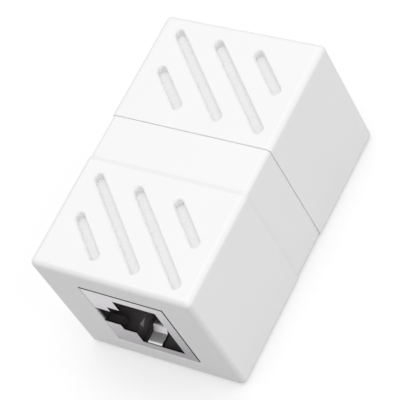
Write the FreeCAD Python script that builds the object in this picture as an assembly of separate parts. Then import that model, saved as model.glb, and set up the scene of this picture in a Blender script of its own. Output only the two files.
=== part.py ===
"""Inline coupler for two eight-way modular plugs, socket to socket.

Two white moulded shells close over one circuit board.  The board stands on edge and carries two
shielded sockets, back to back.  Each socket is a folded sheet-metal shield over a black moulded
body, with a contact carrier that holds eight stamped spring contacts.

Frame: millimetres, +Z up, +Y along the length.  The origin is at the middle of the underside.
The front socket faces -Y.  Both sockets lie on their side, with the latch slot towards -X and
the contacts towards +X.  The rear socket is the front one turned half a turn about the X
direction through the middle of the part.
"""

import FreeCAD
import Part

import math
import os

from FreeCAD import Vector

# Outside of the housing
BODY_LENGTH = 45.0
BODY_WIDTH = 27.8
BODY_HEIGHT = 23.2
EDGE_RADIUS = 0.9
SIDE_WALL = 2.0
END_WALL = 1.6
INNER_RADIUS = 0.5

# Recessed band round the middle; the shells part at its rear edge
BAND_LENGTH = 7.6
BAND_RECESS = 0.2
BAND_RAMP = 0.8
SEAM_GAP = 0.06
SEAM_RADIUS = 0.1

# Diagonal grip grooves, a group of four on each half, above and below
GROOVE_WIDTH = 1.5
GROOVE_DEPTH = 1.25
GROOVE_ANGLE = 43.0
GROOVE_PITCH = 4.63
GROOVE_SHIFT = 0.17
LONG_GROOVE = 18.0
SHORT_GROOVE = 7.55
LONG_GROOVE_SLIDE = 2.85
SHORT_GROOVE_SLIDE = 3.2
GROOVE_RIM = 0.18

# Tongue of the front shell inside the rear shell, with its snap hooks
TONGUE_REACH = 4.5
TONGUE_ROOT = 3.2
TONGUE_THICKNESS = 1.0
TONGUE_CLEARANCE = 0.1
HOOK_WIDTH = 4.0
HOOK_LENGTH = 1.8
HOOK_HEIGHT = 0.4
HOOK_SETBACK = 0.8
HOOK_SPACING = 11.0
HOOK_CLEARANCE = 0.1

# Rails and ribs inside the shells
RAIL_THICKNESS = 1.1
RAIL_GRIP = 0.6
RAIL_CLEARANCE = 0.05
RIB_THICKNESS = 1.2
RIB_SPACING = 9.0
RIB_CLEARANCE = 0.1
RIB_SETBACK = 0.2

# Circuit board, on edge along the length
BOARD_THICKNESS = 1.6
BOARD_TONGUE_GAP = 0.2
BOARD_END_GAP = 0.1

# Shield: height runs along X and width along Z, because the socket lies on its side
SHIELD_WIDTH = 15.25
SHIELD_HEIGHT = 14.55
SHIELD_DEPTH = 18.0
SHIELD_SHEET = 0.25
SHIELD_BEND = 0.3
SHIELD_EDGE = 0.08
SHIELD_SHIFT = 0.375
SHIELD_RECESS = 0.02
SHIELD_SLIT = 0.15
RETURN_LIP = 1.5

# Window in the shell's end: a thin lip with a bevelled rim, and room for the shield behind it
WINDOW_GAP = 0.08
WINDOW_SHIFT = 0.05
WINDOW_RIM = 0.15
WINDOW_LIP = 0.55
WINDOW_RELIEF = 0.6

# Plug opening in the shield's face: the plug's own rectangle, then two steps for its latch
PLUG_WIDTH = 11.8
PLUG_HEIGHT = 7.5
PLUG_INSET = 1.85
STEP_WIDTH = 6.6
STEP_HEIGHT = 2.2
LATCH_WIDTH = 4.0

# Side springs, bent in from the edges of the plug opening
SPRING_WIDTH = 2.47
SPRING_OFFSET = 0.78
SPRING_STAND = 0.15
SPRING_FLAT = 2.2
SPRING_RISE = 1.05
SPRING_RAMP = 0.6
SPRING_TAIL = 2.2
SPRING_BEND = 0.4

# Solder legs of the shield
LEG_WIDTH = 1.2
LEG_PLACE = 12.4
LEG_EXPOSED = 1.0
LEG_SLOT_CLEARANCE = 0.25

# Windows in the shield's sides, with the socket body's lugs in them
LUG_PLACE = 5.0
LUG_LEVEL = -3.6
LUG_LENGTH = 2.4
LUG_WIDTH = 1.6
LUG_CLEARANCE = 0.08

# Moulded socket body
BODY_CLEARANCE = 0.05
BODY_EDGE = 0.3
BODY_FLOOR = 0.35
CAVITY_DEPTH = 12.0
CAVITY_MARGIN = 0.05
LATCH_LIP = 1.25
CATCH_WIDTH = 6.8
LEAD_IN_PLACE = 1.45
LEAD_IN_LENGTH = 1.3
LEAD_IN_WIDTH = 0.8
LEAD_IN_DEPTH = 0.3
BACK_WALL = 1.5
SPRING_POCKET_DEPTH = 0.9
SPRING_POCKET_MARGIN = 0.25
PEG_RADIUS = 1.5
PEG_SPACING = 11.43
PEG_PLACE = 8.9
PEG_EXPOSED = 0.5
PEG_CLEARANCE = 0.06

# Contact carrier: slab over the cavity, comb at its back, leg down to the board
CARRIER_MARGIN = 0.3
CARRIER_CLEARANCE = 0.05
SLAB_UNDER_CONTACT = 0.8
LEG_BLOCK_MARGIN = 0.7
COMB_DEPTH = 1.6
COMB_DROP = 3.6
COMB_SLOT = 0.6

# Spring contacts
CONTACT_COUNT = 8
CONTACT_THICKNESS = 0.3
CONTACT_WIDTH = 0.42
CONTACT_PITCH = 1.02
TAIL_PITCH = 1.27
TAIL_ROW_GAP = 2.54
CONTACT_BEND = 0.42
CONTACT_COVER = 0.35
NOSE_PLACE = 2.9
NOSE_HEIGHT = 1.1
TIP_PLACE = 11.4
TIP_DROP = 2.85
FAN_START = 4.5
FAN_LENGTH = 6.0
TAIL_ROW_PLACE = 14.3
TAIL_EXPOSED = 1.0
TAIL_HOLE_RADIUS = 0.4

# Places that follow from the sizes above
FRONT = -BODY_LENGTH / 2
MIDDLE = BODY_HEIGHT / 2
SEAM = BAND_LENGTH / 2
INNER_HALF_WIDTH = BODY_WIDTH / 2 - SIDE_WALL
INNER_HALF_HEIGHT = BODY_HEIGHT / 2 - SIDE_WALL
RIB_START = SEAM + TONGUE_REACH + RIB_SETBACK
BOARD_HEIGHT = 2 * (INNER_HALF_HEIGHT - TONGUE_THICKNESS - BOARD_TONGUE_GAP)
FACE = FRONT + SHIELD_RECESS
BOARD_FACE = SHIELD_SHIFT - SHIELD_HEIGHT / 2
BOARD_BACK = BOARD_FACE - BOARD_THICKNESS
SHIELD_TOP = SHIELD_SHIFT + SHIELD_HEIGHT / 2
PLUG_TOP = SHIELD_TOP - PLUG_INSET
PLUG_FLOOR = PLUG_TOP - PLUG_HEIGHT
STEP_FLOOR = PLUG_FLOOR - STEP_HEIGHT
BODY_FRONT = FACE + SHIELD_SHEET
BODY_BACK = FACE + SHIELD_DEPTH - SHIELD_SHEET - BODY_CLEARANCE
BODY_TOP = SHIELD_TOP - SHIELD_SHEET - BODY_CLEARANCE
BODY_HALF_WIDTH = SHIELD_WIDTH / 2 - SHIELD_SHEET - BODY_CLEARANCE
CAVITY_BACK = BODY_FRONT + CAVITY_DEPTH
POCKET_BACK = CAVITY_BACK + BACK_WALL
CONTACT_RUN = BODY_TOP - CONTACT_COVER - CONTACT_THICKNESS / 2
NOSE = BODY_FRONT + NOSE_PLACE
SPRING_MIDDLE = PLUG_FLOOR + SPRING_OFFSET + SPRING_WIDTH / 2
TAIL_ROW = FACE + TAIL_ROW_PLACE
CONTACTS_HALF_WIDTH = ((CONTACT_COUNT - 1) * TAIL_PITCH + CONTACT_WIDTH) / 2
CARRIER_HALF_WIDTH = CONTACTS_HALF_WIDTH + CARRIER_MARGIN
LEG_BLOCK_HALF_WIDTH = CONTACTS_HALF_WIDTH + LEG_BLOCK_MARGIN


def block(x0, x1, y0, y1, z0, z1):
    """A box between two corners; z is measured from the middle height."""
    return Part.makeBox(x1 - x0, y1 - y0, z1 - z0, Vector(x0, y0, MIDDLE + z0))


def edges_where(shape, test):
    """The shape's edges whose middle point passes the test."""
    return [e for e in shape.Edges if test(e.BoundBox.Center)]


def near(a, b):
    return abs(a - b) < 1e-4


def turned(shape):
    """The same piece for the rear socket."""
    copy = shape.copy()
    copy.rotate(Vector(0, 0, MIDDLE), Vector(1, 0, 0), 180)
    return copy


def bent_strip(points, bend, thickness):
    """The outline of a strip of even thickness that follows points, with a round bend at each.

    Points are (u, v) pairs, and the outline is given as edges in the XY plane.
    """
    route = [Vector(u, v, 0) for u, v in points]
    sides = {1: [], -1: []}
    ends = {1: [], -1: []}
    for side, edges in sides.items():
        way = (route[1] - route[0]).normalize()
        last = route[0] + Vector(-way.y, way.x, 0) * (side * thickness / 2)
        ends[side].append(last)
        for before, corner, after in zip(route, route[1:], route[2:]):
            into = (corner - before).normalize()
            out = (after - corner).normalize()
            turn = into.cross(out).z
            half = into.getAngle(out) / 2
            reach = bend * math.tan(half)
            start = corner - into * reach
            end = corner + out * reach
            hand = 1 if turn > 0 else -1
            centre = start + Vector(-into.y, into.x, 0) * (hand * bend)
            radius = bend - side * hand * thickness / 2
            spokes = [(p - centre).normalize() * radius for p in (start, end)]
            middle = (spokes[0] + spokes[1]).normalize() * radius
            edges.append(Part.LineSegment(last, centre + spokes[0]).toShape())
            arc = Part.Arc(centre + spokes[0], centre + middle, centre + spokes[1])
            edges.append(arc.toShape())
            last = centre + spokes[1]
        way = (route[-1] - route[-2]).normalize()
        final = route[-1] + Vector(-way.y, way.x, 0) * (side * thickness / 2)
        edges.append(Part.LineSegment(last, final).toShape())
        ends[side].append(final)
    caps = [Part.LineSegment(ends[1][i], ends[-1][i]).toShape() for i in (0, 1)]
    loop = Part.Wire(Part.__sortEdges__(sides[1] + sides[-1] + caps))
    return Part.Face(loop)


def strip_in_xy(points, bend, thickness, z0, z1):
    """A bent strip whose (x, y) route lies flat, between two heights about the middle."""
    face = bent_strip(points, bend, thickness)
    face.translate(Vector(0, 0, MIDDLE + z0))
    return face.extrude(Vector(0, 0, z1 - z0))


# ---------------------------------------------------------------- shells


def rounded_hull(y0, y1, inset, radius, end_rounded):
    """A solid block of the housing's section between y0 and y1, set in by inset."""
    half_width = BODY_WIDTH / 2 - inset
    half_height = BODY_HEIGHT / 2 - inset
    hull = block(-half_width, half_width, y0, y1, -half_height, half_height)

    def is_outer(c):
        along = near(abs(c.x), half_width) and near(abs(c.z - MIDDLE), half_height)
        return along or (end_rounded is not None and near(c.y, end_rounded))

    return hull.makeFillet(radius, edges_where(hull, is_outer))


def inner_hollow(y0, y1, inset=0.0):
    """The space inside the shells between y0 and y1, set in further by inset."""
    half_width = INNER_HALF_WIDTH - inset
    half_height = INNER_HALF_HEIGHT - inset
    hollow = block(-half_width, half_width, y0, y1, -half_height, half_height)

    def is_long(c):
        return near(abs(c.x), half_width) and near(abs(c.z - MIDDLE), half_height)

    return hollow.makeFillet(INNER_RADIUS, edges_where(hollow, is_long))


def groove(length, across, along, centre_y, top):
    """One blind groove with round ends, cut into the upper or the lower face."""
    radius = GROOVE_WIDTH / 2
    reach = length / 2
    corners = [Vector(-reach, radius, 0), Vector(reach, radius, 0)]
    corners += [Vector(reach, -radius, 0), Vector(-reach, -radius, 0)]
    loop = Part.Wire(
        [
            Part.LineSegment(corners[0], corners[1]).toShape(),
            Part.Arc(corners[1], Vector(reach + radius, 0, 0), corners[2]).toShape(),
            Part.LineSegment(corners[2], corners[3]).toShape(),
            Part.Arc(corners[3], Vector(-reach - radius, 0, 0), corners[0]).toShape(),
        ]
    )
    cutter = Part.Face(loop).extrude(Vector(0, 0, 2 * GROOVE_DEPTH))
    cutter.translate(Vector(along, across, -GROOVE_DEPTH))
    cutter.rotate(Vector(0, 0, 0), Vector(0, 0, 1), -GROOVE_ANGLE)
    cutter.translate(Vector(0, centre_y, BODY_HEIGHT))
    if not top:
        cutter.rotate(Vector(0, centre_y, MIDDLE), Vector(0, 1, 0), 180)
    return cutter


def groove_group(centre_y):
    """Four grooves on each broad face: two long ones between two short ones."""
    cutters = []
    for side in (-1, 1):
        for length, steps, slide in (
            (LONG_GROOVE, 0.5, LONG_GROOVE_SLIDE),
            (SHORT_GROOVE, 1.5, SHORT_GROOVE_SLIDE),
        ):
            across = side * steps * GROOVE_PITCH
            along = side * slide + GROOVE_SHIFT
            cutters += [groove(length, across, along, centre_y, top) for top in (True, False)]
    return cutters


def cut_grooves(shell, centre_y):
    """Cuts the grooves and bevels their rims."""
    shell = shell.cut(groove_group(centre_y))
    flat_half_width = BODY_WIDTH / 2 - EDGE_RADIUS

    def is_rim(edge):
        box = edge.BoundBox
        on_face = near(box.ZMin, box.ZMax) and near(abs(box.ZMin - MIDDLE), MIDDLE)
        return on_face and max(-box.XMin, box.XMax) < flat_half_width - GROOVE_RIM

    return shell.makeChamfer(GROOVE_RIM, [e for e in shell.Edges if is_rim(e)])


def round_shield(gap, y0, y1):
    """A block that stands clear of the shield by gap, a little nearer to it at -X than at +X."""
    low = BOARD_FACE - gap + WINDOW_SHIFT
    half = SHIELD_WIDTH / 2 + gap
    return block(low, SHIELD_TOP + gap + WINDOW_SHIFT, y0, y1, -half, half)


def window():
    """The opening in the front end wall that the shield stands in."""
    lip_back = FRONT + WINDOW_LIP
    rim = round_shield(WINDOW_GAP + WINDOW_RIM, FRONT - WINDOW_RIM, FRONT + WINDOW_RIM)
    rim = rim.makeChamfer(WINDOW_RIM, edges_where(rim, lambda c: near(c.y, FRONT + WINDOW_RIM)))
    lip = round_shield(WINDOW_GAP, FRONT - WINDOW_RIM, lip_back)
    return lip.fuse([rim, round_shield(WINDOW_GAP + WINDOW_RELIEF, lip_back, FRONT + END_WALL)])


def board_rails(y0, y1):
    """A channel above and a channel below, with the board's edges in them."""
    low = BOARD_BACK - RAIL_CLEARANCE
    high = BOARD_FACE + RAIL_CLEARANCE
    floor = BOARD_HEIGHT / 2 + RAIL_CLEARANCE
    tip = floor - RAIL_GRIP
    outside = (low - RAIL_THICKNESS, high + RAIL_THICKNESS)
    rails = []
    for z0, z1, slot0, slot1 in (
        (tip, INNER_HALF_HEIGHT, tip, floor),
        (-INNER_HALF_HEIGHT, -tip, -floor, -tip),
    ):
        rail = block(*outside, y0, y1, z0, z1)
        rails.append(rail.cut(block(low, high, y0, y1, slot0, slot1)))
    return rails


def backing_ribs(y0, y1):
    """Two ribs on the +X wall that stop the shield from tipping."""
    ribs = []
    for side in (-1, 1):
        middle = side * RIB_SPACING / 2
        low, high = middle - RIB_THICKNESS / 2, middle + RIB_THICKNESS / 2
        ribs.append(block(SHIELD_TOP + RIB_CLEARANCE, INNER_HALF_WIDTH, y0, y1, low, high))
    return ribs


def hook(level, side, grow=0.0):
    """A snap hook on the tongue's side, or with grow the pocket that it drops into."""
    base = INNER_HALF_WIDTH - TONGUE_CLEARANCE
    low = base - TONGUE_THICKNESS / 2
    high = base + HOOK_HEIGHT
    tip = SEAM + TONGUE_REACH - HOOK_SETBACK
    back = tip - HOOK_LENGTH
    half = HOOK_WIDTH / 2 + grow
    outline = [(low, back), (high, back), (high, back + HOOK_LENGTH / 3), (base, tip), (low, tip)]
    if grow:
        outline = [(low, back - grow), (high + grow, back - grow), (high + grow, tip + grow)]
        outline.append((low, tip + grow))
    corners = [Vector(side * x, y, MIDDLE + level - half) for x, y in outline]
    return Part.Face(Part.makePolygon(corners + corners[:1])).extrude(Vector(0, 0, 2 * half))


def all_hooks(grow=0.0):
    levels = (-HOOK_SPACING / 2, HOOK_SPACING / 2)
    return [hook(level, side, grow) for level in levels for side in (-1, 1)]


def tongue():
    """The thin sleeve that enters the rear shell, rooted inside the front one."""
    start = SEAM - TONGUE_ROOT
    end = SEAM + TONGUE_REACH
    seat = SEAM - SEAM_GAP
    root = inner_hollow(start, seat).cut(inner_hollow(start, seat, TONGUE_THICKNESS))
    outer = inner_hollow(seat, end, TONGUE_CLEARANCE)
    sleeve = outer.cut(inner_hollow(seat, end, TONGUE_THICKNESS))
    return root.fuse([sleeve] + all_hooks())


def hull_section(y, inset, radius):
    """The housing's outline at y, set in by inset, as one wire with round corners."""
    half_width = BODY_WIDTH / 2 - inset
    half_height = BODY_HEIGHT / 2 - inset
    slab = block(-half_width, half_width, y, y + 1, -half_height, half_height)
    corners = edges_where(slab, lambda c: near(c.y, y + 0.5))
    slab = slab.makeFillet(radius, corners)
    return next(f for f in slab.Faces if near(f.BoundBox.YMax, y)).OuterWire


def front_shell():
    ramp_start = -SEAM - BAND_RAMP / 2
    ramp_end = -SEAM + BAND_RAMP / 2
    band_radius = EDGE_RADIUS - BAND_RECESS
    half = rounded_hull(FRONT, ramp_start, 0.0, EDGE_RADIUS, FRONT)
    outlines = [hull_section(ramp_start, 0.0, EDGE_RADIUS)]
    outlines.append(hull_section(ramp_end, BAND_RECESS, band_radius))
    ramp = Part.makeLoft(outlines, True, True)
    band = rounded_hull(ramp_end, SEAM - SEAM_GAP, BAND_RECESS, band_radius, None)
    inside = FRONT + END_WALL
    shell = cut_grooves(half, (FRONT - SEAM) / 2).fuse([ramp, band])
    shell = shell.cut(inner_hollow(inside, SEAM))
    ribs = board_rails(inside, SEAM - TONGUE_ROOT) + backing_ribs(inside, -RIB_START)
    return shell.fuse([tongue()] + ribs).cut(window()).removeSplitter()


def rear_shell():
    end = BODY_LENGTH / 2
    inside = end - END_WALL
    half = rounded_hull(SEAM, end, 0.0, EDGE_RADIUS, end)
    half = half.makeFillet(SEAM_RADIUS, edges_where(half, lambda c: near(c.y, SEAM)))
    shell = cut_grooves(half, (end + SEAM) / 2)
    shell = shell.cut([inner_hollow(SEAM, inside)] + all_hooks(HOOK_CLEARANCE))
    ribs = board_rails(RIB_START, inside) + backing_ribs(RIB_START, inside)
    return shell.fuse(ribs).cut(turned(window())).removeSplitter()


# ---------------------------------------------------------------- circuit board


def contact_z(index, pitch):
    """The height of a contact above the middle: the first is lowest."""
    return (index - (CONTACT_COUNT - 1) / 2) * pitch


def tail_y(index):
    """Tails stand in two rows, every other one further back."""
    return TAIL_ROW + (index % 2) * TAIL_ROW_GAP


def across_board(radius, y, z):
    """A round pin or hole right through the board, along X."""
    length = BOARD_THICKNESS * 3
    start = Vector(BOARD_BACK - BOARD_THICKNESS, y, MIDDLE + z)
    return Part.makeCylinder(radius, length, start, Vector(1, 0, 0))


def leg_block(grow):
    """Both solder legs of a shield, or with grow the slots that they pass through."""
    legs = []
    low = BOARD_BACK - LEG_EXPOSED
    y0 = FACE + LEG_PLACE - LEG_WIDTH / 2
    for side in (-1, 1):
        z0 = side * (SHIELD_WIDTH / 2 - SHIELD_SHEET / 2) - SHIELD_SHEET / 2
        z1 = z0 + SHIELD_SHEET
        top = BOARD_FACE + (SHIELD_SHEET if not grow else grow)
        legs.append(block(low - grow, top, y0 - grow, y0 + LEG_WIDTH + grow, z0 - grow, z1 + grow))
    return legs


def circuit_board():
    half_length = BODY_LENGTH / 2 - END_WALL - BOARD_END_GAP
    half_height = BOARD_HEIGHT / 2
    x0, x1 = BOARD_BACK, BOARD_FACE
    board = block(x0, x1, -half_length, half_length, -half_height, half_height)
    holes = leg_block(LEG_SLOT_CLEARANCE)
    for index in range(CONTACT_COUNT):
        tail = contact_z(index, TAIL_PITCH)
        holes.append(across_board(TAIL_HOLE_RADIUS, tail_y(index), tail))
    for side in (-1, 1):
        peg = side * PEG_SPACING / 2
        holes.append(across_board(PEG_RADIUS + PEG_CLEARANCE, FACE + PEG_PLACE, peg))
    return board.cut(holes + [turned(h) for h in holes])


# ---------------------------------------------------------------- front socket


def plug_outline(y0, y1, margin, latch_floor):
    """The stepped plug opening as one solid, grown by margin on its walls."""
    plug = PLUG_WIDTH / 2 + margin
    step = STEP_WIDTH / 2 + margin
    latch = LATCH_WIDTH / 2 + margin
    opening = block(PLUG_FLOOR - margin, PLUG_TOP + margin, y0, y1, -plug, plug)
    upper_step = block(STEP_FLOOR - margin, PLUG_FLOOR, y0, y1, -step, step)
    latch_slot = block(latch_floor, STEP_FLOOR, y0, y1, -latch, latch)
    return opening.fuse([upper_step, latch_slot])


def side_spring(side):
    """A tab bent in from the face at one edge of the plug opening, with a raised ramp."""
    sheet = SHIELD_SHEET
    edge = PLUG_WIDTH / 2
    run = edge - SPRING_STAND + sheet / 2
    crest = run - SPRING_RISE
    bend_end = FACE + sheet / 2
    ramp = FACE + SPRING_FLAT
    top = ramp + SPRING_RAMP
    route = [
        (edge + sheet + SPRING_BEND, bend_end),
        (run, bend_end),
        (run, ramp),
        (crest, top),
        (edge + sheet / 2, top + SPRING_TAIL),
    ]
    face = bent_strip(route, SPRING_BEND, sheet)
    spring = face.extrude(Vector(0, 0, SPRING_WIDTH))
    # The outline's first direction becomes height, and its extrusion runs along X.
    spring.rotate(Vector(0, 0, 0), Vector(0, 1, 0), -90)
    spring.translate(Vector(SPRING_MIDDLE + SPRING_WIDTH / 2, 0, MIDDLE))
    return spring if side > 0 else spring.mirror(Vector(0, 0, MIDDLE), Vector(0, 0, 1))


def lug(side, grow=0.0):
    """A lug on the socket body's side, or with grow the window that it stands in."""
    middle = FACE + LUG_PLACE
    y0, y1 = middle - LUG_LENGTH / 2 - grow, middle + LUG_LENGTH / 2 + grow
    x0, x1 = LUG_LEVEL - LUG_WIDTH / 2 - grow, LUG_LEVEL + LUG_WIDTH / 2 + grow
    low, high = BODY_HALF_WIDTH - SHIELD_SHEET, SHIELD_WIDTH / 2 + grow
    return block(x0, x1, y0, y1, *((low, high) if side > 0 else (-high, -low)))


def return_lip():
    """The shield's narrow fold between the board and the socket body, under the latch."""
    middle = SHIELD_SHEET / 2
    half = SHIELD_WIDTH / 2 - SHIELD_BEND - SHIELD_SLIT
    route = [
        (BOARD_FACE + 2 * SHIELD_BEND, FACE + middle),
        (BOARD_FACE + middle, FACE + middle),
        (BOARD_FACE + middle, FACE + RETURN_LIP),
    ]
    return strip_in_xy(route, SHIELD_BEND - middle, SHIELD_SHEET, -half, half)


def front_shield():
    half = SHIELD_WIDTH / 2
    back = FACE + SHIELD_DEPTH
    sheet = SHIELD_SHEET
    outer = block(BOARD_FACE, SHIELD_TOP, FACE, back, -half, half)
    bends = edges_where(outer, lambda c: not near(c.x, BOARD_FACE) and not near(c.y, FACE))
    outer = outer.makeFillet(SHIELD_BEND, bends)
    rim = edges_where(outer, lambda c: not near(c.x, BOARD_FACE) and near(c.y, FACE))
    outer = outer.makeFillet(SHIELD_EDGE, rim)
    low = BOARD_FACE - sheet
    inner = block(low, SHIELD_TOP - sheet, FACE + sheet, back - sheet, -half + sheet, half - sheet)
    folds = edges_where(inner, lambda c: not near(c.x, low))
    can = outer.cut(inner.makeFillet(SHIELD_BEND - sheet, folds))
    flap = half - SHIELD_BEND
    lip_room = block(low, BOARD_FACE + SHIELD_BEND, FACE - sheet, FACE + RETURN_LIP, -flap, flap)
    cuts = [lip_room]
    for side in (-1, 1):
        place = side * (flap - SHIELD_SLIT / 2)
        z0, z1 = place - SHIELD_SLIT / 2, place + SHIELD_SLIT / 2
        cuts.append(block(low, SHIELD_TOP - SHIELD_BEND, back - 2 * sheet, back + sheet, z0, z1))
        cuts.append(lug(side, LUG_CLEARANCE))
    can = can.cut(cuts).fuse(return_lip())
    can = can.cut(plug_outline(FACE - sheet, FACE + RETURN_LIP + sheet, 0.0, low))
    springs = [side_spring(side) for side in (-1, 1)]
    return can.fuse(springs + leg_block(0.0)).removeSplitter()


def lead_in(side):
    """The tapered bevel on the edge between the plug's floor and the latch step."""
    x = PLUG_FLOOR - CAVITY_MARGIN
    z = side * (STEP_WIDTH / 2 + CAVITY_MARGIN)
    start = FACE + LEAD_IN_PLACE
    corners = [(x, z), (x, z + side * LEAD_IN_WIDTH), (x - LEAD_IN_DEPTH, z)]
    points = [Vector(u, start, MIDDLE + v) for u, v in corners]
    tip = Part.Vertex(Vector(x, start + LEAD_IN_LENGTH, MIDDLE + z))
    return Part.makeLoft([Part.makePolygon(points + points[:1]), tip], True, True)


def front_socket_body():
    half = BODY_HALF_WIDTH
    body = block(BOARD_FACE, BODY_TOP, BODY_FRONT, BODY_BACK, -half, half)
    body = body.makeChamfer(BODY_EDGE, edges_where(body, lambda c: not near(c.x, BOARD_FACE)))
    margin = CAVITY_MARGIN
    latch_floor = BOARD_FACE + BODY_FLOOR
    cavity = plug_outline(BODY_FRONT, CAVITY_BACK, margin, latch_floor)
    catch_half = CATCH_WIDTH / 2
    lip_back = BODY_FRONT + LATCH_LIP
    catch = block(latch_floor, STEP_FLOOR, lip_back, CAVITY_BACK, -catch_half, catch_half)
    roof = CARRIER_HALF_WIDTH + CARRIER_CLEARANCE
    nose_room = NOSE - CONTACT_THICKNESS
    carrier_slot = block(PLUG_TOP, BODY_TOP, nose_room, BODY_BACK, -roof, roof)
    leg_half = LEG_BLOCK_HALF_WIDTH + CARRIER_CLEARANCE
    leg_slot = block(BOARD_FACE, BODY_TOP, POCKET_BACK, BODY_BACK, -leg_half, leg_half)
    cuts = [cavity, catch, carrier_slot, leg_slot]
    lip_top = BOARD_FACE + SHIELD_BEND + BODY_CLEARANCE
    lip_end = FACE + RETURN_LIP + BODY_CLEARANCE
    latch_half = LATCH_WIDTH / 2 - BODY_CLEARANCE
    for z0, z1 in ((latch_half, half), (-half, -latch_half)):
        cuts.append(block(BOARD_FACE, lip_top, BODY_FRONT, lip_end, z0, z1))
    reach = SPRING_FLAT + SPRING_RAMP + SPRING_TAIL + 2 * SHIELD_SHEET
    pocket_x = SPRING_WIDTH / 2 + SPRING_POCKET_MARGIN
    x0, x1 = SPRING_MIDDLE - pocket_x, SPRING_MIDDLE + pocket_x
    edge = PLUG_WIDTH / 2
    for z0, z1 in ((edge, edge + SPRING_POCKET_DEPTH), (-edge - SPRING_POCKET_DEPTH, -edge)):
        cuts.append(block(x0, x1, BODY_FRONT, BODY_FRONT + reach, z0, z1))
    cuts += [lead_in(side) for side in (-1, 1)]
    pegs = []
    for side in (-1, 1):
        start = Vector(BOARD_FACE, FACE + PEG_PLACE, MIDDLE + side * PEG_SPACING / 2)
        length = BOARD_THICKNESS + PEG_EXPOSED
        pegs.append(Part.makeCylinder(PEG_RADIUS, length, start, Vector(-1, 0, 0)))
    lugs = [lug(side) for side in (-1, 1)]
    return body.cut(cuts).fuse(pegs + lugs).removeSplitter()


def contact(index):
    """One stamped contact: sloping beam, nose, fanned run and tail, in one piece."""
    beam_z = contact_z(index, CONTACT_PITCH)
    tail_z = contact_z(index, TAIL_PITCH)
    half = CONTACT_WIDTH / 2
    run = CONTACT_RUN
    fan_start = BODY_FRONT + FAN_START
    fan_end = fan_start + FAN_LENGTH
    beam_route = [
        (PLUG_TOP - TIP_DROP, BODY_FRONT + TIP_PLACE),
        (run - NOSE_HEIGHT, NOSE),
        (run, NOSE),
        (run, fan_start),
    ]
    beam = strip_in_xy(beam_route, CONTACT_BEND, CONTACT_THICKNESS, beam_z - half, beam_z + half)
    tail_route = [
        (run, fan_end),
        (run, tail_y(index)),
        (BOARD_BACK - TAIL_EXPOSED, tail_y(index)),
    ]
    tail = strip_in_xy(tail_route, CONTACT_BEND, CONTACT_THICKNESS, tail_z - half, tail_z + half)

    def section(y, z):
        x0, x1 = run - CONTACT_THICKNESS / 2, run + CONTACT_THICKNESS / 2
        points = [(x0, z - half), (x1, z - half), (x1, z + half), (x0, z + half)]
        corners = [Vector(x, y, MIDDLE + h) for x, h in points]
        return Part.makePolygon(corners + corners[:1])

    fan = Part.makeLoft([section(fan_start, beam_z), section(fan_end, tail_z)], True, True)
    return beam.fuse([fan, tail]).removeSplitter()


def front_contact_carrier(contacts):
    """The moulding round the contacts' runs and tails, with a comb for the beams' tips."""
    half = CARRIER_HALF_WIDTH
    under = CONTACT_RUN - CONTACT_THICKNESS / 2 - SLAB_UNDER_CONTACT
    slab_front = NOSE + CONTACT_THICKNESS / 2
    gap = CARRIER_CLEARANCE
    slab = block(under, BODY_TOP, slab_front, POCKET_BACK + gap, -half, half)
    leg_half = LEG_BLOCK_HALF_WIDTH
    leg = block(BOARD_FACE, BODY_TOP, POCKET_BACK + gap, BODY_BACK, -leg_half, leg_half)
    comb_front = CAVITY_BACK - COMB_DEPTH
    comb = block(PLUG_TOP - COMB_DROP, under, comb_front, CAVITY_BACK - gap, -half, half)
    slots = []
    for index in range(CONTACT_COUNT):
        z = contact_z(index, CONTACT_PITCH)
        z0, z1 = z - COMB_SLOT / 2, z + COMB_SLOT / 2
        slots.append(block(PLUG_TOP - COMB_DROP, under, comb_front, CAVITY_BACK - 3 * gap, z0, z1))
    carrier = slab.fuse([leg, comb]).removeSplitter()
    corner = edges_where(carrier, lambda c: near(c.x, BODY_TOP) and near(c.y, BODY_BACK))
    carrier = carrier.makeChamfer(BODY_EDGE, corner)
    return carrier.cut(slots + contacts).removeSplitter()


def main():
    os.makedirs("parts", exist_ok=True)
    pieces = {
        "front_shell": front_shell(),
        "rear_shell": rear_shell(),
        "circuit_board": circuit_board(),
    }
    contacts = [contact(index) for index in range(CONTACT_COUNT)]
    socket = {
        "shield": front_shield(),
        "socket_body": front_socket_body(),
        "contact_carrier": front_contact_carrier(contacts),
    }
    for index, piece in enumerate(contacts):
        socket[f"contact_{index + 1}"] = piece
    for name, piece in socket.items():
        pieces[f"front_{name}"] = piece
        pieces[f"rear_{name}"] = turned(piece)
    for name, piece in pieces.items():
        piece.exportStep(f"parts/{name}.step")
        solids = len(piece.Solids)
        print(f"{name}: {solids} solid, {piece.Volume:.1f} mm3, valid {piece.isValid()}")


main()
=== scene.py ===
"""Finish, light and camera for the inline coupler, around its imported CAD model."""

import math

import bpy
from mathutils import Matrix, Vector


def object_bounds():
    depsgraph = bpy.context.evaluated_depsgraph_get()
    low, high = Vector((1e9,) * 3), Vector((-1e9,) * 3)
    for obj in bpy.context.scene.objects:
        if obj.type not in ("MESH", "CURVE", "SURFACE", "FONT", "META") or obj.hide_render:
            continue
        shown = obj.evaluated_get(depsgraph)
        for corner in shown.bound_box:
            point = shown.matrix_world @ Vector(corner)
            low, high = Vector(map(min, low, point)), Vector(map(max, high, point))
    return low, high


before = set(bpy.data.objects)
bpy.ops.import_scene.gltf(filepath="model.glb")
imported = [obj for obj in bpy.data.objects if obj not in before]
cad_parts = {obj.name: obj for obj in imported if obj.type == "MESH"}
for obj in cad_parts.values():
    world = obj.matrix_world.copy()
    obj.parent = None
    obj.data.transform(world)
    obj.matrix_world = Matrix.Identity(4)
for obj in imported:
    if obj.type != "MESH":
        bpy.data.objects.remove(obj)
cad_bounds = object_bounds()


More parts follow.
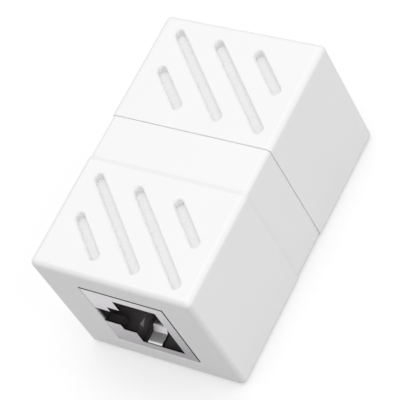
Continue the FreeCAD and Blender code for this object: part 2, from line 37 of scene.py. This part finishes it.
# ---------------------------------------------------------------- camera
# A long lens, well back from the part, so that its edges stay nearly parallel.  It looks down on
# the front socket from the +X side and is rolled, so that the part seems to stand on one corner.

low, high = (Vector(corner) for corner in cad_bounds)
middle = (low + high) / 2

view_azimuth = math.radians(55.41)
view_elevation = math.radians(49.99)
view_roll = math.radians(-34.05)
view_distance = 0.3035
aim_right = -0.00088
aim_up = -0.00057
focal_length = 185.35
sensor_width = 36
nearest_seen = 0.01
farthest_seen = 10

towards_camera = Vector((
    math.sin(view_azimuth) * math.cos(view_elevation),
    -math.cos(view_azimuth) * math.cos(view_elevation),
    math.sin(view_elevation),
))
level_right = Vector((math.cos(view_azimuth), math.sin(view_azimuth), 0))
level_up = towards_camera.cross(level_right)
view_right = level_right * math.cos(view_roll) + level_up * math.sin(view_roll)
view_up = towards_camera.cross(view_right)

lens = bpy.data.cameras.new("camera")
lens.lens = focal_length
lens.sensor_width = sensor_width
lens.clip_start = nearest_seen
lens.clip_end = farthest_seen
camera = bpy.data.objects.new("camera", lens)
aim = middle + view_right * aim_right + view_up * aim_up
turn = Matrix((view_right, view_up, towards_camera)).transposed().to_4x4()
camera.matrix_world = Matrix.Translation(aim + towards_camera * view_distance) @ turn
bpy.context.scene.collection.objects.link(camera)
bpy.context.scene.camera = camera


# ---------------------------------------------------------------- housing shells
# Two halves moulded in white ABS, which snap together beside the waist band.  The mould was
# spark-eroded to a very fine, even grain.  Painted shade: the edges, the slopes and the groove
# floors are a shade greyer than the flat faces.  Painted light: the groove walls, the windows'
# bevels and the seam's step are whiter.

class Finish:
    """One material, or the sky, and the one way in which its nodes are added."""

    def __init__(self, name, kind=bpy.data.materials):
        self.owner = kind.new(name)
        self.owner.use_nodes = True
        self.owner.node_tree.nodes.clear()

    def add(self, kind, settings, sockets):
        """Adds a node and returns its outputs by name, each as a Signal."""
        node = self.owner.node_tree.nodes.new(kind)
        for name, setting in settings.items():
            setattr(node, name, setting)
        for name, value in sockets.items():
            if isinstance(name, int):
                socket = node.inputs[name]
            else:
                socket = next(s for s in node.inputs if s.name == name and s.enabled)
            if isinstance(value, Signal):
                self.owner.node_tree.links.new(value.socket, socket)
            else:
                socket.default_value = value
        return {s.name: Signal(self, s) for s in node.outputs if s.enabled}

    def place(self):
        """Where a point is in the part's own frame, in metres."""
        return self.add("ShaderNodeTexCoord", {}, {})["Object"]

    def grain(self, place, size, detail=2.0):
        """Noise from 0 to 1 whose grains are about size metres across."""
        sockets = {"Vector": place, "Scale": 1 / size, "Detail": detail, "Roughness": 0.55}
        return self.add("ShaderNodeTexNoise", {}, sockets)["Fac"]

    def stretched(self, place, scale):
        """The place, stretched along each axis."""
        settings = {"operation": "MULTIPLY"}
        return self.add("ShaderNodeVectorMath", settings, {0: place, 1: scale})["Vector"]

    def between(self, factor, first, second):
        """A colour between two, by a factor from 0 to 1."""
        ends = [end if isinstance(end, Signal) else (*end, 1) for end in (first, second)]
        sockets = {"Factor": factor, "A": ends[0], "B": ends[1]}
        return self.add("ShaderNodeMix", {"data_type": "RGBA"}, sockets)["Result"]

    def apart(self, vector):
        """The X, Y and Z of a vector."""
        parts = self.add("ShaderNodeSeparateXYZ", {}, {"Vector": vector})
        return parts["X"], parts["Y"], parts["Z"]

    def rise(self, value, start, end):
        """0 up to start, 1 from end on, and even between them."""
        sockets = {"Value": value, "From Min": start, "From Max": end}
        return self.add("ShaderNodeMapRange", {}, sockets)["Result"]

    def bump(self, height, depth):
        """A normal from a height between 0 and 1 that stands for depth metres."""
        sockets = {"Height": height, "Distance": depth, "Strength": 1.0}
        return self.add("ShaderNodeBump", {}, sockets)["Normal"]

    def surface(self, sockets):
        """Ends the material in one Principled shader with these sockets."""
        shader = self.add("ShaderNodeBsdfPrincipled", {}, sockets)["BSDF"]
        self.add("ShaderNodeOutputMaterial", {}, {"Surface": shader})
        return self.owner


class Signal:
    """A shader socket that adds a Math node for each operator used on it."""

    def __init__(self, finish, socket):
        self.finish = finish
        self.socket = socket

    def maths(self, operation, first, second):
        outputs = self.finish.add("ShaderNodeMath", {"operation": operation}, {0: first, 1: second})
        return outputs["Value"]

    def __add__(self, other):
        return self.maths("ADD", self, other)

    def __radd__(self, other):
        return self.maths("ADD", other, self)

    def __sub__(self, other):
        return self.maths("SUBTRACT", self, other)

    def __rsub__(self, other):
        return self.maths("SUBTRACT", other, self)

    def __mul__(self, other):
        return self.maths("MULTIPLY", self, other)

    def __rmul__(self, other):
        return self.maths("MULTIPLY", other, self)

    def __abs__(self):
        return self.maths("ABSOLUTE", self, 0)

    def or_more(self, other):
        return self.maths("MAXIMUM", self, other)

    def or_less(self, other):
        return self.maths("MINIMUM", self, other)


cloud_size = 0.009
texture_size = 0.00016
texture_depth = 0.000004
shell_roughness = 0.36
cloud_roughness = 0.08
texture_roughness = 0.04
flat_whites = ((0.83, 0.83, 0.832), (0.86, 0.86, 0.86))
# Painted shade for the edges, the slopes and the groove floors.
slope_shade_white = (0.8, 0.8, 0.801)
# Painted light for the groove walls, the windows' bevels and the seam's step.
painted_light_white = (0.95, 0.95, 0.95)

# The start and end of each change by the way that a place faces: from straight to slanted, from a
# wall to none, from a slope to level, and from across the part to along it.
slanted_range = (0.008, 0.03)
wall_range = (0.1, 0.3)
level_range = (0.9, 0.95)
along_range = (0.3, 0.6)

# Where the grooves, the windows' bevels and the seam are, in metres.
edge_inset = 0.0012
inset_blend = 0.0001
groove_depths = (0.0006, 0.0008)
bevel_depths = (0.0003, 0.0002)
window_margins = (0.002, 0.003)
near_top_share = 0.45
near_top = middle.z + near_top_share * (high.z - low.z)
seam_place = min(
    vertex.co.y
    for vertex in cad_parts["rear_shell"].data.vertices
    if vertex.co.z > near_top
)
seam_reach = 0.0003


def white_moulding():
    finish = Finish("white_moulding")
    place = finish.place()
    cloud = finish.grain(place, cloud_size, detail=3)
    texture = finish.grain(place, texture_size)
    east, north, up = finish.apart(place)
    under_surface = (high.z - low.z) / 2 - abs(up - middle.z)
    facing = finish.add("ShaderNodeNewGeometry", {}, {})["Normal"]
    x, y, z = (abs(part) for part in finish.apart(facing))
    slanted = finish.rise(1 - x.or_more(y).or_more(z), *slanted_range)
    from_edge = (high.x - edge_inset - abs(east)).or_less(high.y - edge_inset - abs(north))
    within = finish.rise(from_edge, 0, inset_blend)
    groove_wall_light = within * slanted * (1 - finish.rise(z, *wall_range))
    groove_floor_shade = within * finish.rise(z, *level_range) * finish.rise(under_surface, *groove_depths)
    from_side = (high.x - abs(east)).or_less(under_surface)
    on_end = finish.rise(abs(north), high.y - bevel_depths[0], high.y - bevel_depths[1])
    window_bevel_highlight = slanted * on_end * finish.rise(from_side, *window_margins)
    seam_off = abs(north - seam_place)
    off_seam = finish.rise(seam_off, seam_reach, 2 * seam_reach)
    seam_step_light = finish.rise(y, *along_range) * (1 - off_seam)
    flat = finish.between(cloud, *flat_whites)
    # Painted shade: the edges, the slopes and the groove floors are greyer.
    with_painted_shade = finish.between(slanted.or_more(groove_floor_shade), flat, slope_shade_white)
    # Painted light: the groove walls, the windows' bevels and the seam's step are whiter.
    painted_light_mask = groove_wall_light.or_more(seam_step_light).or_more(window_bevel_highlight)
    return finish.surface({
        "Base Color": finish.between(painted_light_mask, with_painted_shade, painted_light_white),
        "Roughness": shell_roughness + cloud * cloud_roughness + texture * texture_roughness,
        "Normal": finish.bump(texture, texture_depth),
        "IOR": 1.53,
    })


def dress(names, material):
    """Gives CAD nodes a material in place of the plain one that they came with."""
    for name in names:
        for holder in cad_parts[name].material_slots:
            holder.material = material


dress(("front_shell", "rear_shell"), white_moulding())


# ---------------------------------------------------------------- shields
# Each socket's shield is one piece of nickel-plated steel sheet, stamped flat and folded round the
# moulded body.  Painted reflection: the face darkens a little towards its lower +X corner.  Painted
# light: the springs behind it are brighter.  Painted shade: the sides, the top bend and the sheared
# edges are nearly black.

shield_points = [vertex.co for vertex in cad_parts["front_shield"].data.vertices]
shield_front = min(point.y for point in shield_points)
face_skin = 0.000001
face_points = [point for point in shield_points if point.y < shield_front + face_skin]
face_low = Vector([min(point[axis] for point in face_points) for axis in range(3)])
face_high = Vector([max(point[axis] for point in face_points) for axis in range(3)])
face_middle = (face_low + face_high) / 2
face_half = (face_high - face_low) / 2
spring_depths = (0.001, 0.003)
lip_reach = 0.001
spring_points = [
    point.x
    for point in shield_points
    if spring_depths[0] < point.y - shield_front < spring_depths[1]
    and point.x > face_low.x + lip_reach
]
spring_middle = (min(spring_points) + max(spring_points)) / 2
spring_half = (max(spring_points) - min(spring_points)) / 2
spring_blend = 0.0001

line_size = 0.0011
line_stretch = (1.0, 1.0, 14.0)
line_depth = 0.000003
plating_roughness = 0.26
haze_roughness = 0.1
line_roughness = 0.1
behind_roughness = 0.16
haze_size = 0.004
haze_sway = 0.002
corner_lean = 0.4
corner_heights = (-0.007, 0.008)
# Painted reflection: the face's greys, darker towards its lower +X corner.
painted_reflection_greys = ((0.35, 0.337, 0.351), (0.645, 0.631, 0.645))
# Painted light on the springs behind the face.
spring_painted_light_grey = (0.79, 0.78, 0.79)
# Painted shade on the sides, the top bend and the sheared edges.
painted_shade_black = (0.012, 0.011, 0.012)

# How far from the face the sheared edges and the springs start, and how far past the face's outline
# the sides and the top bend do, in metres.
sheared_depths = (0.00003, 0.00008)
behind_depths = (0.00005, 0.0002)
side_reaches = (0.00001, 0.00004)
top_bend_reaches = (-0.00016, -0.00012)


def plated_sheet():
    finish = Finish("plated_sheet")
    place = finish.place()
    x, y, z = finish.apart(place)
    across = x - face_middle.x
    upward = z - face_middle.z
    lines = finish.grain(finish.stretched(place, line_stretch), line_size, detail=4)
    haze = finish.grain(place, haze_size, detail=3)
    leaning = upward - across * corner_lean + haze * haze_sway
    # Painted reflection: darker towards the face's lower +X corner.
    face = finish.between(finish.rise(leaning, *corner_heights), *painted_reflection_greys)
    depth = -shield_front - abs(y)
    off_spring = finish.rise(abs(x - spring_middle) - spring_half, 0, spring_blend)
    sheared_edge_shade = off_spring * finish.rise(depth, *sheared_depths)
    behind = finish.rise(depth, *behind_depths)
    # Painted light: the springs behind the face are brighter.
    plating_with_painted_light = finish.between(behind, face, spring_painted_light_grey)
    beyond = (abs(across) - face_half.x).or_more(abs(upward) - face_half.z)
    side = finish.rise(beyond, *side_reaches)
    top_bend = finish.rise(upward - face_half.z, *top_bend_reaches)
    # Painted shade: the sides, the top bend and the sheared edges are nearly black.
    painted_shade_mask = side.or_more(top_bend).or_more(sheared_edge_shade)
    on_face = plating_roughness + haze * haze_roughness + lines * line_roughness
    return finish.surface({
        "Base Color": finish.between(painted_shade_mask, plating_with_painted_light, painted_shade_black),
        "Metallic": 1.0,
        "Roughness": on_face + behind * behind_roughness,
        "Normal": finish.bump(lines, line_depth),
    })


dress(("front_shield", "rear_shield"), plated_sheet())


# ---------------------------------------------------------------- socket bodies and carriers
# The sockets and the inserts that hold the contacts are moulded in black glass-filled polyester,
# which comes out of the mould with a slight sheen and short flow marks.  Painted light: it is greyer
# deep inside.  Painted highlight: the sockets' slanted lead-ins are a mid grey.

flow_size = 0.0009
flow_stretch = (1.0, 0.25, 1.0)
fine_size = 0.00014
flow_share = 0.6
fine_share = 0.4
skin_depth = 0.000005
moulding_roughness = 0.34
flow_roughness = 0.14
near_blacks = ((0.021, 0.019, 0.021), (0.028, 0.026, 0.028))
# Painted light deep inside the sockets.
deep_painted_light_greys = ((0.15, 0.14, 0.15), (0.18, 0.168, 0.18))
deep_depths = (0.0005, 0.003)
lead_in_slants = (0.02, 0.04)
# Painted highlight on the sockets' slanted lead-ins.
lead_in_highlight_grey = (0.4, 0.385, 0.4)


def black_moulding(name, lead_in_highlights):
    finish = Finish(name)
    place = finish.place()
    depth = -shield_front - abs(finish.apart(place)[1])
    flow = finish.grain(finish.stretched(place, flow_stretch), flow_size, detail=3)
    fine = finish.grain(place, fine_size)
    near = finish.between(flow, *near_blacks)
    # Painted light: greyer deep inside.
    painted_light_deep = finish.between(flow, *deep_painted_light_greys)
    colour = finish.between(finish.rise(depth, *deep_depths), near, painted_light_deep)
    if lead_in_highlights:
        facing = finish.add("ShaderNodeNewGeometry", {}, {})["True Normal"]
        x, y, z = (abs(part) for part in finish.apart(facing))
        slanted = finish.rise(1 - x.or_more(y).or_more(z), *lead_in_slants)
        # Painted highlight: the slanted lead-ins are a mid grey.
        colour = finish.between(slanted, colour, lead_in_highlight_grey)
    return finish.surface({
        "Base Color": colour,
        "Roughness": moulding_roughness + flow * flow_roughness,
        "Normal": finish.bump(flow * flow_share + fine * fine_share, skin_depth),
        "IOR": 1.55,
    })


dress(("front_socket_body", "rear_socket_body"), black_moulding("socket_moulding", True))
dress(("front_contact_carrier", "rear_contact_carrier"), black_moulding("carrier_moulding", False))


# ---------------------------------------------------------------- contacts
# Sixteen contacts are stamped from phosphor bronze strip, bent to shape and plated with gold over
# nickel.  Stamping leaves fine lines along each one.

contacts_per_socket = 8
stamping_size = 0.00012
stamping_stretch = (1.0, 0.1, 1.0)
stamping_depth = 0.000002
gold_roughness = 0.2
stamping_roughness = 0.12
tint_size = 0.0015
golds = ((0.76, 0.52, 0.19), (0.88, 0.64, 0.27))


def gold_plate():
    finish = Finish("gold_plate")
    place = finish.place()
    lines = finish.grain(finish.stretched(place, stamping_stretch), stamping_size)
    tint = finish.grain(place, tint_size, detail=3)
    return finish.surface({
        "Base Color": finish.between(tint, *golds),
        "Metallic": 1.0,
        "Roughness": gold_roughness + lines * stamping_roughness,
        "Normal": finish.bump(lines, stamping_depth),
    })


dress(
    [f"{end}_contact_{i + 1}" for end in ("front", "rear") for i in range(contacts_per_socket)],
    gold_plate(),
)


# ---------------------------------------------------------------- circuit board
# The board between the sockets is glass-fibre laminate under green solder mask.  The weave shows
# faintly through the mask.

yarn_length = 0.0035
warp_stretch = (1.0, 8.0, 1.0)
weft_stretch = (1.0, 1.0, 8.0)
yarn_share = 0.5
weave_depth = 0.00001
mask_roughness = 0.3
weave_roughness = 0.15
mask_greens = ((0.012, 0.11, 0.035), (0.03, 0.2, 0.07))


def solder_mask():
    finish = Finish("solder_mask")
    place = finish.place()
    warp = finish.grain(finish.stretched(place, warp_stretch), yarn_length)
    weft = finish.grain(finish.stretched(place, weft_stretch), yarn_length)
    weave = warp * yarn_share + weft * yarn_share
    return finish.surface({
        "Base Color": finish.between(weave, *mask_greens),
        "Roughness": mask_roughness + weave * weave_roughness,
        "Normal": finish.bump(weave, weave_depth),
    })


dress(("circuit_board",), solder_mask())


# ---------------------------------------------------------------- floor and light
# A plain table top under the part, with a pale sky all round.  One large soft lamp hangs overhead,
# and one stands at the +X side, which makes that side lighter than the front.  Where the table is
# looked at, two fifths of its white is its own, which keeps the part's shadow on it soft.

table_half = 1.5
table_drop = 0.00002
table_grey = (0.4, 0.4, 0.4)
table_white_seen = (0.6, 0.6, 0.6)
table_glow_seen = (0.4, 0.4, 0.4)
no_glow = (0, 0, 0)
sky_strength = 0.71
sky_strength_seen = 1.0
lamp_distance = 1.2

table_mesh = bpy.data.meshes.new("table")
table_mesh.from_pydata(
    [
        (x * table_half, y * table_half, low.z - table_drop)
        for x, y in ((-1, -1), (1, -1), (1, 1), (-1, 1))
    ],
    [],
    [(0, 1, 2, 3)],
)
table = bpy.data.objects.new("table", table_mesh)
bpy.context.scene.collection.objects.link(table)


def seen(finish):
    """1 where the camera looks, straight or by a mirror or glass, and 0 for light on the part."""
    rays = finish.add("ShaderNodeLightPath", {}, {})
    mirrored = rays["Is Glossy Ray"].or_more(rays["Is Transmission Ray"])
    return rays["Is Camera Ray"].or_more(mirrored)


def paper():
    finish = Finish("paper")
    looked_at = seen(finish)
    return finish.surface({
        "Base Color": finish.between(looked_at, table_grey, table_white_seen),
        "Emission Color": finish.between(looked_at, no_glow, table_glow_seen),
        "Emission Strength": 1.0,
        "Roughness": 0.9,
        "Specular IOR Level": 0.0,
    })


def pale_sky():
    finish = Finish("sky", bpy.data.worlds)
    strength = sky_strength + seen(finish) * (sky_strength_seen - sky_strength)
    sky = finish.add("ShaderNodeBackground", {}, {"Color": (1, 1, 1, 1), "Strength": strength})
    finish.add("ShaderNodeOutputWorld", {}, {"Surface": sky["Background"]})
    return finish.owner


table_mesh.materials.append(paper())
bpy.context.scene.world = pale_sky()


def soft_lamp(name, direction, size, power):
    """A square lamp that shines on the middle of the part from lamp_distance away."""
    light = bpy.data.lights.new(name, "AREA")
    light.size = size
    light.energy = power
    lamp = bpy.data.objects.new(name, light)
    away = Vector(direction).normalized()
    facing = away.to_track_quat("Z", "Y").to_matrix().to_4x4()
    lamp.matrix_world = Matrix.Translation(middle + away * lamp_distance) @ facing
    bpy.context.scene.collection.objects.link(lamp)


soft_lamp("ceiling", direction=(0.0, 0.1, 1.0), size=0.9, power=5.3)
soft_lamp("window", direction=(1.0, 0.15, 0.3), size=0.8, power=3.9)

bpy.context.scene.view_settings.view_transform = "Standard"
